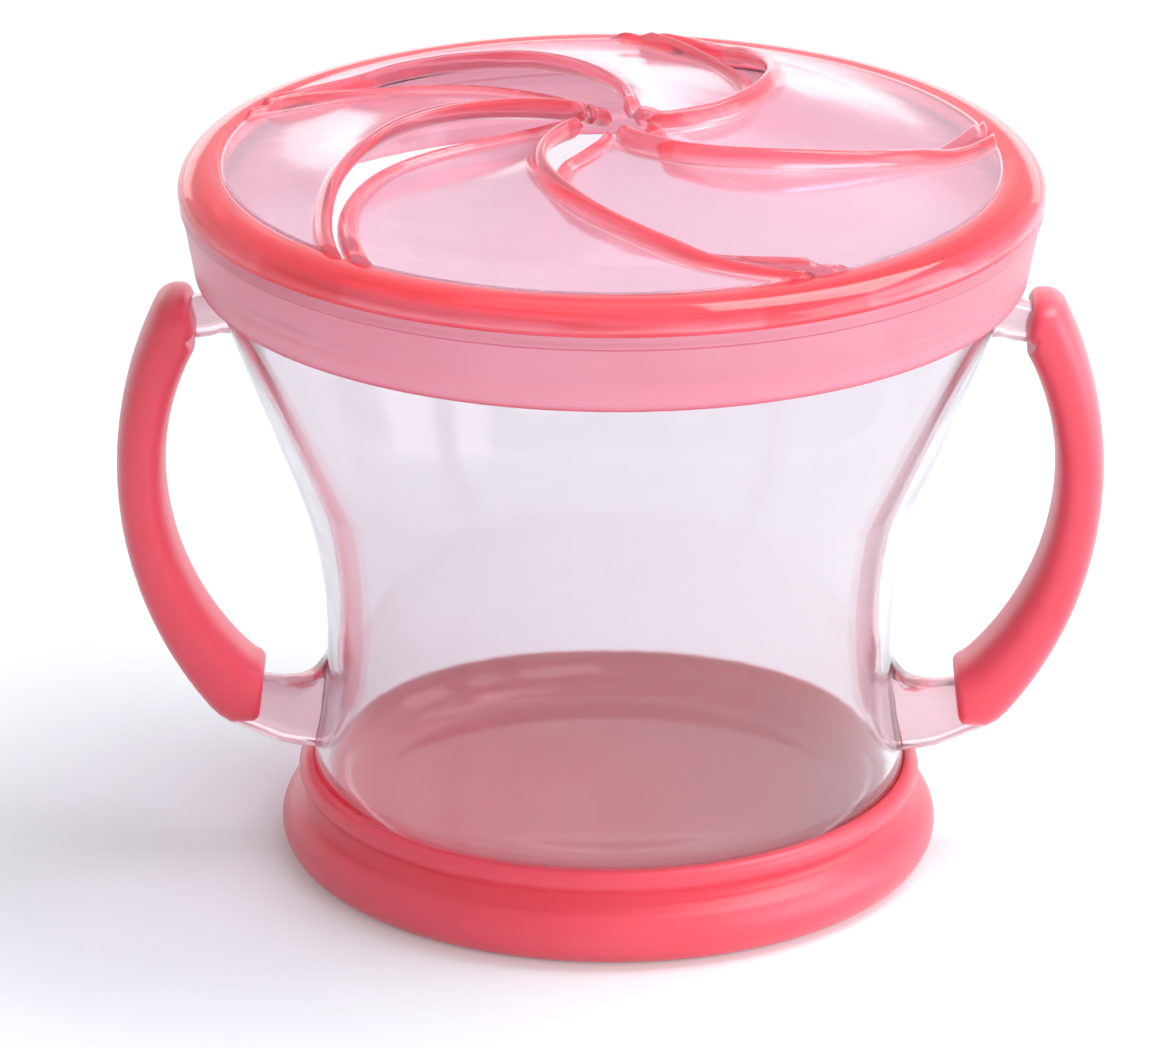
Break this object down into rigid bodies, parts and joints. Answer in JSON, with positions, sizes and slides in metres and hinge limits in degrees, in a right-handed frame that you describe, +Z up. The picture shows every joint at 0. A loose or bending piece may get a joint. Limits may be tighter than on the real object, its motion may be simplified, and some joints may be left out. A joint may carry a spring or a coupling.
{
  "type": "toddler snack container",
  "caption": "Waisted clear cup with two soft side grips, a soft foot and a press-fit lid whose spiral flaps bend down to let a small hand in.",
  "frame": {"origin": "centre of the foot on the surface it stands on", "axes": "+Z up through the lid's centre, +X through the two grips, -Y towards the front of the picture"},
  "size_m": [0.1116, 0.097, 0.0883],
  "materials": {
    "clear_plastic": "clear, smooth, glossy moulded plastic",
    "soft_coral": "soft satin overmould, solid coral",
    "pink_clear_plastic": "rigid translucent pink plastic, glossy",
    "soft_clear_red": "soft translucent rubber, glossy, stronger pink-red",
    "soft_clear_pink": "thin soft translucent rubber, glossy"
  },
  "bodies": {
    "container": {"cup": "clear_plastic", "left_grip": "soft_coral", "right_grip": "soft_coral", "foot": "soft_coral"},
    "lid": {"lid_collar": "pink_clear_plastic", "top_ring": "soft_clear_red"},
    "flap_1": {"flap_1": "soft_clear_pink"},
    "flap_2": {"flap_2": "soft_clear_pink"},
    "flap_3": {"flap_3": "soft_clear_pink"},
    "flap_4": {"flap_4": "soft_clear_pink"},
    "flap_5": {"flap_5": "soft_clear_pink"}
  },
  "joints": [
    {"name": "lid_lift", "type": "slide", "parent": "container", "child": "lid", "axis": [0, 0, 1], "range_m": [0, 0.045]},
    {"name": "flap_1_bend", "type": "hinge", "parent": "lid", "child": "flap_1", "pos_m": [0.0216, 0.02574, 0.08302], "axis": [0.7638, -0.6409, -0.0771], "range_deg": [0, 50], "stiffness_Nm_per_rad": 0.05},
    {"name": "flap_2_bend", "type": "hinge", "parent": "lid", "child": "flap_2", "pos_m": [-0.01781, 0.02849, 0.08302], "axis": [0.8455, 0.5283, -0.0771], "range_deg": [0, 50], "stiffness_Nm_per_rad": 0.05},
    {"name": "flap_3_bend", "type": "hinge", "parent": "lid", "child": "flap_3", "pos_m": [-0.0326, -0.00813, 0.08302], "axis": [-0.2412, 0.9674, -0.0771], "range_deg": [0, 50], "stiffness_Nm_per_rad": 0.05},
    {"name": "flap_4_bend", "type": "hinge", "parent": "lid", "child": "flap_4", "pos_m": [-0.00234, -0.03352, 0.08302], "axis": [-0.9946, 0.0695, -0.0771], "range_deg": [0, 50], "stiffness_Nm_per_rad": 0.05},
    {"name": "flap_5_bend", "type": "hinge", "parent": "lid", "child": "flap_5", "pos_m": [0.03115, -0.01259, 0.08302], "axis": [-0.3735, -0.9244, -0.0771], "range_deg": [0, 50], "stiffness_Nm_per_rad": 0.05}
  ]
}
